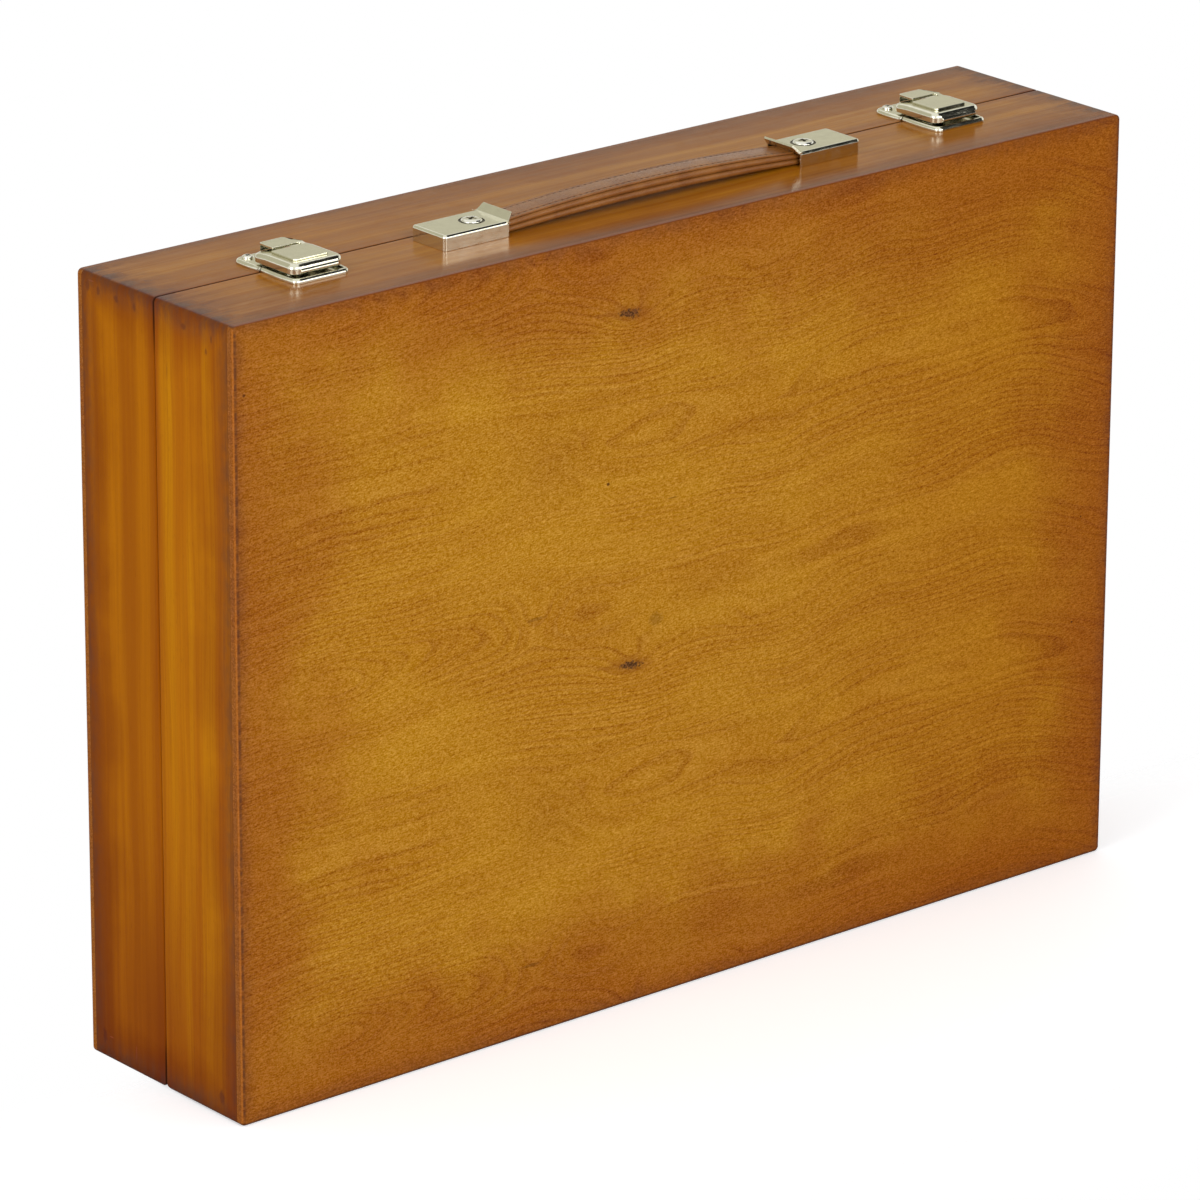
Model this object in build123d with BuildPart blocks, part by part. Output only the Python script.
"""Wooden case for artists' materials, standing on its hinge side with both latches shut.

+X runs along the width, +Y from the front shell to the back shell and +Z up, in millimetres.
The origin is the centre of the bottom. The split between the two shells is the plane y = 0.
"""
import math
import os

from build123d import *

os.makedirs("parts", exist_ok=True)

# Case body: two shells, each a finger-jointed frame of four boards with a plywood panel
width = 430.0
height = 305.0
depth = 92.0
board = 9.0
panel = 3.0
rim_gap = 0.2
corner_radius = 2.0
face_ease = 1.2
rim_ease = 0.8
fingers_per_shell = 8

# Dividers in the front shell
divider = 4.0
divider_depth = 34.0
brush_tray_height = 86.0
cross_divider_from_end = 147.0

# Hinges, let into the rims of the bottom rails
hinge_from_end = 75.0
hinge_height = 1.9
lid_opening = 110.0
vee_margin = 1.0
knuckle_radius = 1.7
knuckle_count = 5
knuckle_play = 0.15
barrel_play = 0.3
hinge_pin_radius = 0.75
leaf_width = 32.0
leaf_thickness = 0.8
leaf_top = 8.6
leaf_play = 0.1
hinge_screw_x = 10.0
hinge_screw_radius = 0.9
hinge_screw_head = 1.6
hinge_screw_head_height = 0.7
hinge_screw_length = 8.0

# Handle: a leather strap over a steel band, held by two sheet-metal caps
handle_y = -13.2
mouth_x = 70.8
cap_length = 30.0
cap_width = 19.5
cap_height = 6.0
cap_wall = 0.8
cap_edge = 1.2
cap_corner = 1.5
lip_reach = 2.5
lip_rise = 2.8
lip_corner = 2.0
cap_screw_x = 80.5
cap_screw_radius = 1.5
cap_screw_head = 4.0
cap_screw_head_height = 1.3
cap_screw_length = 7.5
dimple_radius = 4.9
dimple_depth = 0.4
strap_end_x = 72.6
strap_end_lift = 0.35
strap_lift = 3.9
strap_top_half = 5.0
strap_thickness = 4.6
bead_drop = 0.45
bead_reach = 7.3
bead_waist = 6.3
band_width = 11.0
band_thickness = 0.8
band_level = 2.2
band_end_x = 96.0
band_bend_radius = 60.0
band_slot_length = 12.0
band_slot_play = 0.2

# Latches: a base plate on the front shell, a link, a cover that is the lever, a hook plate
# spot-welded to the cover, and a keeper on the back shell
latch_from_end = 60.0
plate_half = 12.4
plate_bulge = 0.6
plate_rim = 1.6
plate_rim_height = 2.0
plate_floor = 0.9
plate_front = 21.2
plate_split_gap = 0.4
plate_corner = 2.6
rim_round = 1.4
ear_x = 5.1
ear_thickness = 0.8
ear_width = 3.6
base_pin_y = -3.4
base_pin_height = 3.4
link_pin_y = -13.9
link_pin_height = 3.6
latch_pin_radius = 0.7
pin_play = 0.05
pin_overhang = 0.3
link_knuckle = 1.35
link_thickness = 0.9
link_side_play = 0.2
cover_half = 11.8
cover_front = 18.8
cover_back = 6.0
cover_top = 6.6
cover_back_top = 5.9
cover_bottom = 2.9
cover_sheet = 0.8
cover_corner = 3.4
cover_edge = 2.0
cover_slope_start = -2.0
lip_bead = 1.0
hook_sheet = 0.8
hook_bend = 0.7
hook_left = 8.0
hook_right = 7.8
hook_front = 14.8
tab_half = 5.75
tab_back = 9.7
tab_step = 0.3
tab_corner = 2.0
hook_corner = 1.2
slot_front = -1.1
slot_back = 0.9
slot_end = 6.1
neck_back = 2.6
nose_clearance = 0.25
keeper_back = 16.0
keeper_height = 1.8
keeper_corner = 3.6
ridge_half = 5.0
ridge_front = 6.9
ridge_thickness = 1.3
ridge_height = 4.2
ridge_round = 0.58
keeper_screw_x = 8.3
keeper_screw_y = 12.3
keeper_screw_head = 2.2
keeper_screw_head_height = 1.0
plate_screw_x = 8.6
plate_screw_y = -10.5
plate_screw_head = 2.0
plate_screw_head_height = 0.9
plate_screw_radius = 1.0
plate_screw_length = 7.0
pan_crown_share = 0.55

frame_depth = depth / 2 - panel
finger = frame_depth / fingers_per_shell
inner_half = width / 2 - board
hinge_x = width / 2 - hinge_from_end
latch_x = width / 2 - latch_from_end
cross_divider_x = width / 2 - cross_divider_from_end
front, back = -1, 1
left, right = -1, 1


def save(part, name):
    """Label a finished piece and write its file."""
    part.label = name
    export_step(part, f"parts/{name}.step")


def finger_spots(side, of_rail):
    """Middles along y of one shell's fingers. Rail and side board fingers take turns."""
    first = 0 if side == front else fingers_per_shell
    own = [k for k in range(first, first + fingers_per_shell) if (k % 2 == 0) == of_rail]
    return [(k + 0.5) * finger - frame_depth for k in own]


def shell_blank(side):
    """Outer form of one shell: eased edges, and the bevel along the hinge side."""
    vee_half = math.radians(lid_opening / 2 + vee_margin)
    vee_reach = hinge_height * math.tan(vee_half)
    with BuildPart() as blank:
        with BuildSketch(Plane.XZ.offset(-side * rim_gap / 2)):
            with Locations((0, height / 2)):
                RectangleRounded(width, height, corner_radius)
        extrude(amount=-side * (depth / 2 - rim_gap / 2))
        ends = blank.faces().filter_by(Axis.Y).sort_by(Axis.Y)
        outer, rim = (ends[0], ends[-1]) if side == front else (ends[-1], ends[0])
        fillet(outer.edges(), radius=face_ease)
        fillet(rim.edges(), radius=rim_ease)
        with BuildSketch(Plane.YZ):
            with BuildLine():
                Polyline(
                    (0, hinge_height),
                    (2 * vee_reach, -hinge_height),
                    (-2 * vee_reach, -hinge_height),
                    close=True,
                )
            make_face()
        extrude(amount=width, both=True, mode=Mode.SUBTRACT)
    return blank.part


def hinge_screw_planes(side):
    """Where the hinge screws enter one shell's bottom rail, facing the split."""
    z = (leaf_top + hinge_height + knuckle_radius) / 2
    spots = [end * hinge_x + step * hinge_screw_x for end in (left, right) for step in (left, right)]
    return [Plane((x, side * rim_gap / 2, z), z_dir=(0, -side, 0)) for x in spots]


def cap_screw_planes():
    """Where the two screws of the handle caps enter the top rail."""
    return [Plane((end * cap_screw_x, handle_y, height), z_dir=(0, 0, 1)) for end in (left, right)]


def keeper_screw_planes():
    """Where the keepers' screws enter the top rail of the back shell."""
    spots = [end * latch_x + step * keeper_screw_x for end in (left, right) for step in (left, right)]
    return [Plane((x, keeper_screw_y, height), z_dir=(0, 0, 1)) for x in spots]


def plate_screw_planes():
    """Where the base plates' screws enter the top rail of the front shell."""
    spots = [end * latch_x + step * plate_screw_x for end in (left, right) for step in (left, right)]
    return [Plane((x, plate_screw_y, height), z_dir=(0, 0, 1)) for x in spots]


def near_x(planes, x):
    """Those of the screws' planes that belong to the fitting at x."""
    return [plane for plane in planes if abs(plane.origin.X - x) < leaf_width / 2]


def rail(side, at_top, blank):
    """Top or bottom board of a shell. Its ends have sockets for the side boards' fingers.

    The bottom one has a mortise for each hinge leaf and a groove for each barrel.
    """
    ends = [(end * (width - board) / 2, y) for end in (left, right) for y in finger_spots(side, False)]
    with BuildPart() as piece:
        with BuildSketch(Plane.XY.offset(height - board if at_top else 0)):
            with Locations((0, side * frame_depth / 2)):
                Rectangle(width, frame_depth)
            with Locations(*ends):
                Rectangle(board, finger, mode=Mode.SUBTRACT)
        extrude(amount=board)
        add(blank, mode=Mode.INTERSECT)
        if at_top and side == front:
            with Locations(*cap_screw_planes()):
                Cylinder(cap_screw_radius, 2 * cap_screw_length, mode=Mode.SUBTRACT)
            with Locations(*plate_screw_planes()):
                Cylinder(plate_screw_radius, 2 * plate_screw_length, mode=Mode.SUBTRACT)
        if at_top and side == back:
            with Locations(*keeper_screw_planes()):
                Cylinder(plate_screw_radius, 2 * plate_screw_length, mode=Mode.SUBTRACT)
        if not at_top:
            with BuildSketch(Plane.XZ):
                with Locations(*[(end * hinge_x, leaf_top / 2) for end in (left, right)]):
                    Rectangle(leaf_width + 2 * leaf_play, leaf_top)
            extrude(amount=-side * (rim_gap / 2 + leaf_thickness), mode=Mode.SUBTRACT)
            with BuildSketch(*[Plane.YZ.offset(end * hinge_x) for end in (left, right)]):
                with Locations((0, hinge_height)):
                    Circle(knuckle_radius + barrel_play)
            extrude(amount=leaf_width / 2 + leaf_play, both=True, mode=Mode.SUBTRACT)
            with Locations(*hinge_screw_planes(side)):
                Cylinder(hinge_screw_radius, 2 * hinge_screw_length, mode=Mode.SUBTRACT)
    return piece.part


def side_board(side, end, blank):
    """Left or right board of a shell, with the sockets for the rails' fingers."""
    sockets = [(y, z) for y in finger_spots(side, True) for z in (board / 2, height - board / 2)]
    with BuildPart() as piece:
        with BuildSketch(Plane.YZ.offset(end * width / 2)):
            with Locations((side * frame_depth / 2, height / 2)):
                Rectangle(frame_depth, height)
            with Locations(*sockets):
                Rectangle(finger, board, mode=Mode.SUBTRACT)
        extrude(amount=-end * board)
        add(blank, mode=Mode.INTERSECT)
    return piece.part


def face_panel(side, blank):
    """Veneered plywood panel glued over the whole frame."""
    with BuildPart() as piece:
        with BuildSketch(Plane.XZ.offset(-side * frame_depth)):
            with Locations((0, height / 2)):
                Rectangle(width, height)
        extrude(amount=-side * panel)
        add(blank, mode=Mode.INTERSECT)
    return piece.part


def divider_board(x_low, x_high, z_low, z_high):
    """Upright strip of wood standing on the inside of the front panel."""
    with BuildPart() as piece:
        with BuildSketch(Plane.XZ.offset(frame_depth)):
            with Locations(((x_low + x_high) / 2, (z_low + z_high) / 2)):
                Rectangle(x_high - x_low, z_high - z_low)
        extrude(amount=-divider_depth)
    return piece.part


def hinge_leaf(side, end):
    """Hinge leaf with its share of the knuckles. The pin is fixed in the front leaf."""
    pitch = leaf_width / knuckle_count
    own = [k for k in range(knuckle_count) if (k % 2 == 0) == (side == front)]
    starts = [end * hinge_x - leaf_width / 2 + k * pitch + knuckle_play / 2 for k in own]
    plate_low = hinge_height + knuckle_radius + barrel_play
    bore = hinge_pin_radius if side == front else hinge_pin_radius + pin_play
    with BuildPart() as leaf:
        with BuildSketch(Plane.XZ.offset(-side * rim_gap / 2)):
            with Locations((end * hinge_x, (plate_low + leaf_top - leaf_play) / 2)):
                Rectangle(leaf_width, leaf_top - leaf_play - plate_low)
        extrude(amount=-side * leaf_thickness)
        with BuildSketch(*[Plane.YZ.offset(x) for x in starts]):
            with Locations((0, hinge_height)):
                Circle(knuckle_radius)
            with Locations((side * (rim_gap + leaf_thickness) / 2, (hinge_height + plate_low) / 2)):
                Rectangle(leaf_thickness, plate_low - hinge_height)
        extrude(amount=pitch - knuckle_play)
        with Locations(Plane((end * hinge_x, 0, hinge_height), z_dir=(1, 0, 0))):
            Cylinder(bore, 2 * leaf_width, mode=Mode.SUBTRACT)
        with Locations(*near_x(hinge_screw_planes(side), end * hinge_x)):
            Cylinder(hinge_screw_radius, 4 * leaf_thickness, mode=Mode.SUBTRACT)
            Cone(hinge_screw_radius, hinge_screw_head, hinge_screw_head_height,
                 align=(Align.CENTER, Align.CENTER, Align.MAX), mode=Mode.SUBTRACT)
    return leaf.part


def hinge_pin(end):
    """Plain pin through all the knuckles of one hinge."""
    with BuildPart() as pin:
        with BuildSketch(Plane.YZ.offset(end * hinge_x)):
            with Locations((0, hinge_height)):
                Circle(hinge_pin_radius)
        extrude(amount=leaf_width / 2, both=True)
    return pin.part


def countersunk_screws(planes):
    """Flat-headed screws, flush with the planes that they enter."""
    with BuildPart(*planes) as screws:
        Cone(hinge_screw_radius, hinge_screw_head, hinge_screw_head_height,
             align=(Align.CENTER, Align.CENTER, Align.MAX))
        with Locations((0, 0, -hinge_screw_head_height)):
            Cylinder(hinge_screw_radius, hinge_screw_length - hinge_screw_head_height,
                     align=(Align.CENTER, Align.CENTER, Align.MAX))
    return screws.part


def pan_screws(planes, seat, shank_radius, head_radius, head_height, length):
    """Pan-headed screws. The head rests at the seat's height over the planes."""
    crown = head_height * pan_crown_share
    shoulder = seat + head_height - crown
    dome = (head_radius**2 + crown**2) / (2 * crown)
    half_way = math.asin(head_radius / dome) / 2
    dome_point = (dome * math.sin(half_way), seat + head_height - dome * (1 - math.cos(half_way)))
    with BuildPart() as screws:
        for plane in planes:
            with BuildSketch(Plane(plane.origin, x_dir=(1, 0, 0), z_dir=(0, -1, 0))):
                with BuildLine():
                    Polyline(
                        (0, seat + head_height),
                        (0, -length),
                        (shank_radius, -length),
                        (shank_radius, seat),
                        (head_radius, seat),
                        (head_radius, shoulder),
                    )
                    ThreePointArc((head_radius, shoulder), dome_point, (0, seat + head_height))
                make_face()
            revolve(axis=Axis(plane.origin, (0, 0, 1)))
    return screws.part


def handle_cap(end):
    """Pressed cap, open below and at its mouth, with a flared lip over the strap."""
    middle = end * (mouth_x + cap_length / 2)
    inner = end * (mouth_x + (cap_length - cap_wall) / 2)
    lip_top = height + cap_height + lip_rise
    with BuildPart() as cap:
        with BuildSketch(Plane.XY.offset(height)):
            with Locations((middle, handle_y)):
                Rectangle(cap_length, cap_width)
        extrude(amount=cap_height)
        uprights = cap.edges().filter_by(Axis.Z).sort_by(Axis.X)
        fillet(uprights[-2:] if end == right else uprights[:2], radius=cap_corner)
        crest = cap.faces().sort_by(Axis.Z)[-1]
        mouth_edge = crest.edges().sort_by(Axis.X)[0 if end == right else -1]
        fillet([edge for edge in crest.edges() if edge != mouth_edge], radius=cap_edge)
        with BuildSketch(Plane.XY.offset(height)):
            with Locations((inner, handle_y)):
                Rectangle(cap_length - cap_wall, cap_width - 2 * cap_wall)
        extrude(amount=cap_height - cap_wall, mode=Mode.SUBTRACT)
        with BuildSketch(Plane.XZ.offset(-handle_y)):
            with BuildLine():
                Polyline(
                    (end * (mouth_x + cap_wall), height + cap_height - cap_wall),
                    (end * (mouth_x - cap_wall / 2), height + cap_height - cap_wall),
                    (end * (mouth_x - lip_reach - cap_wall / 2), lip_top - cap_wall),
                    (end * (mouth_x - lip_reach), lip_top),
                    (end * mouth_x, height + cap_height),
                    (end * (mouth_x + cap_wall), height + cap_height),
                    close=True,
                )
            make_face()
        extrude(amount=cap_width / 2, both=True)
        for edge_side in (front, back):
            edge_y = handle_y + edge_side * cap_width / 2
            with BuildSketch(Plane.XY.offset(height)):
                with BuildLine():
                    Polyline(
                        (end * mouth_x, edge_y + edge_side * cap_wall),
                        (end * mouth_x, edge_y - edge_side * cap_edge / 3),
                        (end * (mouth_x - cap_wall - lip_reach), edge_y - edge_side * lip_corner),
                        (end * (mouth_x - cap_wall - lip_reach), edge_y + edge_side * cap_wall),
                        close=True,
                    )
                make_face()
            extrude(amount=cap_height + 2 * lip_rise, mode=Mode.SUBTRACT)
        seat = Plane((end * cap_screw_x, handle_y, height + cap_height), z_dir=(0, 0, 1))
        with Locations(seat):
            Cylinder(dimple_radius, 2 * dimple_depth, mode=Mode.SUBTRACT)
            Cylinder(cap_screw_radius, 3 * cap_wall, mode=Mode.SUBTRACT)
    return cap.part


def strap_arch():
    """Radius of the arch of the strap's underside, and the height of its centre."""
    rise = strap_lift - strap_end_lift
    radius = (strap_end_x**2 + rise**2) / (2 * rise)
    return radius, height + strap_lift - radius


def strap_end_angle():
    """Angle from the top of the arch to where the leather ends, in degrees."""
    radius, _ = strap_arch()
    return math.degrees(math.asin(strap_end_x / radius))


def handle_strap():
    """Leather strap with two rolled beads along each side, swept round its arch."""
    radius, centre_z = strap_arch()
    lean = math.radians(strap_end_angle())
    start = Plane((0, handle_y, centre_z), x_dir=(0, 1, 0), z_dir=(math.cos(lean), 0, math.sin(lean)))
    waist = radius + strap_thickness / 2
    crest = radius + strap_thickness
    shoulder_reach = strap_top_half + bead_drop
    with BuildPart() as strap:
        with BuildSketch(start):
            with BuildLine():
                for hand in (left, right):
                    Line((0, radius), (hand * bead_waist, radius))
                    ThreePointArc(
                        (hand * bead_waist, radius),
                        (hand * bead_reach, (radius + waist) / 2),
                        (hand * bead_waist, waist),
                    )
                    ThreePointArc(
                        (hand * bead_waist, waist),
                        (hand * bead_reach, (waist + crest - bead_drop) / 2),
                        (hand * shoulder_reach, crest - bead_drop),
                    )
                    Line((hand * shoulder_reach, crest - bead_drop), (hand * strap_top_half, crest))
                    Line((hand * strap_top_half, crest), (0, crest))
            make_face()
            with Locations((0, radius + band_level)):
                Rectangle(band_width, band_thickness, mode=Mode.SUBTRACT)
        arch_axis = Axis((0, handle_y, centre_z), (0, 1, 0))
        revolve(axis=arch_axis, revolution_arc=2 * strap_end_angle())
    return strap.part


def handle_band():
    """Sprung steel band inside the strap. Its slotted ends lie under the cap screws."""
    radius, centre_z = strap_arch()
    angle = strap_end_angle()
    with BuildPart() as band:
        with BuildSketch(Plane.XZ.offset(-handle_y + band_width / 2)):
            with BuildLine() as path:
                arch = CenterArc((0, centre_z), radius + band_level, 90 - angle, 2 * angle)
                for at, turn in ((0, right), (1, left)):
                    away = (arch % at) * (-1 if at == 0 else 1)
                    bend = JernArc(arch @ at, away, band_bend_radius, turn * angle)
                    Line(bend @ 1, (turn * band_end_x, (bend @ 1).Y))
            trace(path.line, line_width=band_thickness)
        extrude(amount=-band_width)
        with BuildSketch(Plane.XY.offset(height)):
            with Locations(*[(end * cap_screw_x, handle_y) for end in (left, right)]):
                SlotOverall(band_slot_length, 2 * (cap_screw_radius + band_slot_play))
        extrude(amount=cap_height, mode=Mode.SUBTRACT)
    return band.part


def latch_plate(x, outer_y, rise, corner):
    """Blank of a pressed plate: rolled edges on three sides, straight at the split, bowed sides."""
    toward = back if outer_y > 0 else front
    near = toward * plate_split_gap
    middle = (near + outer_y) / 2
    low_x, high_x = x - plate_half, x + plate_half
    with BuildPart() as plate:
        with BuildSketch(Plane.XY.offset(height)):
            with BuildLine():
                Line((low_x, near), (high_x, near))
                ThreePointArc((high_x, near), (high_x + plate_bulge, middle), (high_x, outer_y))
                Line((high_x, outer_y), (low_x, outer_y))
                ThreePointArc((low_x, outer_y), (low_x - plate_bulge, middle), (low_x, near))
            outline = make_face()
            fillet(outline.vertices().group_by(Axis.Y)[-1 if toward == back else 0], radius=corner)
        extrude(amount=rise)
        crest = plate.faces().sort_by(Axis.Z)[-1]
        rolled = [edge for edge in crest.edges() if abs(edge.center().Y - near) > plate_floor]
        fillet(rolled, radius=rim_round)
    return plate.part


def latch_base(x):
    """Base plate: a tray inside a rolled rim, two ears for the link's pin, holes for two screws."""
    pin_z = height + base_pin_height
    tray_front = plate_front - plate_rim
    with BuildPart() as base:
        add(latch_plate(x, -plate_front, plate_rim_height, plate_corner))
        with BuildSketch(Plane.XY.offset(height + plate_floor)):
            with Locations((x, (plate_rim - tray_front) / 2)):
                tray = Rectangle(2 * (plate_half - plate_rim), tray_front + plate_rim)
            fillet(tray.vertices().group_by(Axis.Y)[0], radius=plate_corner - plate_rim)
        extrude(amount=plate_rim_height, mode=Mode.SUBTRACT)
        ear_starts = [x - ear_x - ear_thickness, x + ear_x]
        with BuildSketch(*[Plane.YZ.offset(start) for start in ear_starts]):
            with Locations((base_pin_y, (height + pin_z) / 2)):
                Rectangle(ear_width, pin_z - height)
            with Locations((base_pin_y, pin_z)):
                Circle(ear_width / 2)
        extrude(amount=ear_thickness)
        with Locations(Plane((x, base_pin_y, pin_z), z_dir=(1, 0, 0))):
            Cylinder(latch_pin_radius, 4 * ear_x, mode=Mode.SUBTRACT)
        with Locations(*near_x(plate_screw_planes(), x)):
            Cylinder(plate_screw_radius, 4 * plate_floor, mode=Mode.SUBTRACT)
    return base.part


def latch_pin(x, y, z):
    """Plain pin across one latch."""
    reach = ear_x + ear_thickness + pin_overhang
    with BuildPart() as pin:
        with BuildSketch(Plane.YZ.offset(x)):
            with Locations((y, z)):
                Circle(latch_pin_radius)
        extrude(amount=reach, both=True)
    return pin.part


def latch_link(x):
    """Link with a rolled knuckle round each of its two pins."""
    ends = [(base_pin_y, height + base_pin_height), (link_pin_y, height + link_pin_height)]
    run = ends[1][0] - ends[0][0]
    rise = ends[1][1] - ends[0][1]
    tilt = math.degrees(math.atan2(rise, run))
    middle = (ends[0][0] + run / 2, ends[0][1] + rise / 2)
    with BuildPart() as link:
        with BuildSketch(Plane.YZ.offset(x)):
            with Locations(*ends):
                Circle(link_knuckle)
            with Locations(Location((*middle, 0), (0, 0, tilt))):
                Rectangle(math.hypot(run, rise), link_thickness)
            with Locations(*ends):
                Circle(latch_pin_radius + pin_play, mode=Mode.SUBTRACT)
        extrude(amount=ear_x - link_side_play, both=True)
    return link.part


def latch_cover(x):
    """Pressed cover, which is the lever: a shallow tray with a rolled lip and two lugs inside."""
    front_y = -cover_front
    pin_z = height + link_pin_height
    with BuildPart() as cover:
        with BuildSketch(Plane.YZ.offset(x)):
            with BuildLine():
                Polyline(
                    (front_y, height + cover_bottom),
                    (front_y, height + cover_top),
                    (cover_slope_start, height + cover_top),
                    (cover_back, height + cover_back_top),
                    (cover_back, height + cover_bottom),
                    close=True,
                )
            make_face()
        extrude(amount=cover_half, both=True)
        fillet(cover.edges().filter_by(Axis.Z), radius=cover_corner)
        lying = cover.edges() - cover.edges().filter_by(Axis.Z)
        upper = [edge for edge in lying if edge.center().Z > height + cover_bottom + cover_edge]
        fillet([edge for edge in upper if not edge.is_interior], radius=cover_edge)
        offset(amount=-cover_sheet, openings=cover.faces().sort_by(Axis.Z)[0])
        with BuildSketch(Plane.YZ.offset(x)):
            with Locations((front_y + cover_sheet / 2, height + cover_bottom + lip_bead)):
                Circle(lip_bead)
        extrude(amount=cover_half - cover_corner, both=True)
        lug_starts = [x - ear_x - ear_thickness, x + ear_x]
        with BuildSketch(*[Plane.YZ.offset(start) for start in lug_starts]):
            with Locations((link_pin_y, (pin_z + height + cover_top - cover_sheet) / 2)):
                Rectangle(ear_width, height + cover_top - cover_sheet - pin_z)
            with Locations((link_pin_y, pin_z)):
                Circle(link_knuckle)
        extrude(amount=ear_thickness)
        with Locations(Plane((x, link_pin_y, pin_z), z_dir=(1, 0, 0))):
            Cylinder(latch_pin_radius, 4 * ear_x, mode=Mode.SUBTRACT)
    return cover.part


def latch_hook(x):
    """Hook plate on top of the cover. Its tab reaches over the split and turns down at the keeper."""
    low = height + cover_top
    tab_low = low + tab_step
    nose_low = height + ridge_height + nose_clearance
    with BuildPart() as hook:
        with BuildSketch(Plane.YZ.offset(x)):
            with BuildLine():
                Polyline(
                    (-hook_front, low),
                    (slot_front, low),
                    (slot_back, tab_low),
                    (tab_back - hook_sheet, tab_low),
                    (tab_back - hook_sheet, nose_low),
                    (tab_back, nose_low),
                    (tab_back, tab_low + hook_sheet),
                    (slot_back, tab_low + hook_sheet),
                    (slot_front, low + hook_sheet),
                    (-hook_front, low + hook_sheet),
                    close=True,
                )
            profile = make_face()
            fillet(profile.vertices().group_by(Axis.X)[-1].sort_by(Axis.Y)[-1], radius=hook_bend)
        extrude(amount=hook_left, both=True)
        with BuildSketch(Plane.XY.offset(height)):
            with BuildLine():
                Polyline(
                    (x - hook_left, -hook_front),
                    (x + hook_right, -hook_front),
                    (x + hook_right, neck_back),
                    (x + tab_half, neck_back + hook_right - tab_half),
                    (x + tab_half, tab_back),
                    (x - tab_half, tab_back),
                    (x - tab_half, slot_back),
                    (x - tab_half, slot_front),
                    (x - hook_left, slot_front),
                    close=True,
                )
            plan = make_face()
            plan = fillet(plan.vertices().group_by(Axis.Y)[0], radius=hook_corner)
            fillet(plan.vertices().group_by(Axis.Y)[-1], radius=tab_corner)
            with Locations((x + (slot_end - hook_left) / 2, (slot_front + slot_back) / 2)):
                SlotOverall(slot_end + hook_left, slot_back - slot_front, mode=Mode.SUBTRACT)
        extrude(amount=cover_top + 2 * hook_sheet, mode=Mode.INTERSECT)
    return hook.part


def latch_keeper(x):
    """Keeper plate with the ridge behind which the hook plate's nose comes down."""
    with BuildPart() as keeper:
        add(latch_plate(x, keeper_back, keeper_height, keeper_corner))
        with BuildSketch(Plane.YZ.offset(x)):
            with Locations((ridge_front + ridge_thickness / 2, height + ridge_height / 2)):
                Rectangle(ridge_thickness, ridge_height)
        extrude(amount=ridge_half, both=True)
        fillet(keeper.faces().sort_by(Axis.Z)[-1].edges(), radius=ridge_round)
        with Locations(*near_x(keeper_screw_planes(), x)):
            Cylinder(plate_screw_radius, 3 * keeper_height, mode=Mode.SUBTRACT)
    return keeper.part


for side, shell in ((front, "base"), (back, "lid")):
    blank = shell_blank(side)
    save(rail(side, True, blank), f"{shell}_top_rail")
    save(rail(side, False, blank), f"{shell}_bottom_rail")
    save(side_board(side, left, blank), f"{shell}_left_board")
    save(side_board(side, right, blank), f"{shell}_right_board")
    save(face_panel(side, blank), f"{shell}_panel")
    save(countersunk_screws(hinge_screw_planes(side)), f"hinge_screws_{shell}")
    for end, hand in ((left, "left"), (right, "right")):
        save(hinge_leaf(side, end), f"hinge_leaf_{shell}_{hand}")

tray_bottom = height - board - brush_tray_height - divider
save(divider_board(-inner_half, inner_half, tray_bottom, tray_bottom + divider), "divider_long")
for end, hand in ((left, "left"), (right, "right")):
    x = end * cross_divider_x
    save(divider_board(x - divider / 2, x + divider / 2, board, tray_bottom), f"divider_{hand}")
    save(hinge_pin(end), f"hinge_pin_{hand}")
    save(handle_cap(end), f"handle_cap_{hand}")

save(handle_strap(), "handle_strap")
save(handle_band(), "handle_band")
cap_seat = cap_height - dimple_depth
handle_screws = pan_screws(
    cap_screw_planes(),
    cap_seat,
    cap_screw_radius,
    cap_screw_head,
    cap_screw_head_height,
    cap_screw_length,
)
save(handle_screws, "handle_screws")
base_screws = pan_screws(
    plate_screw_planes(),
    plate_floor,
    plate_screw_radius,
    plate_screw_head,
    plate_screw_head_height,
    plate_screw_length,
)
save(base_screws, "latch_base_screws")
keeper_screws = pan_screws(
    keeper_screw_planes(),
    keeper_height,
    plate_screw_radius,
    keeper_screw_head,
    keeper_screw_head_height,
    plate_screw_length,
)
save(keeper_screws, "keeper_screws")
for end, hand in ((left, "left"), (right, "right")):
    x = end * latch_x
    save(latch_base(x), f"latch_base_{hand}")
    save(latch_pin(x, base_pin_y, height + base_pin_height), f"latch_base_pin_{hand}")
    save(latch_link(x), f"latch_link_{hand}")
    save(latch_pin(x, link_pin_y, height + link_pin_height), f"latch_cover_pin_{hand}")
    save(latch_cover(x), f"latch_cover_{hand}")
    save(latch_hook(x), f"latch_hook_{hand}")
    save(latch_keeper(x), f"latch_keeper_{hand}")
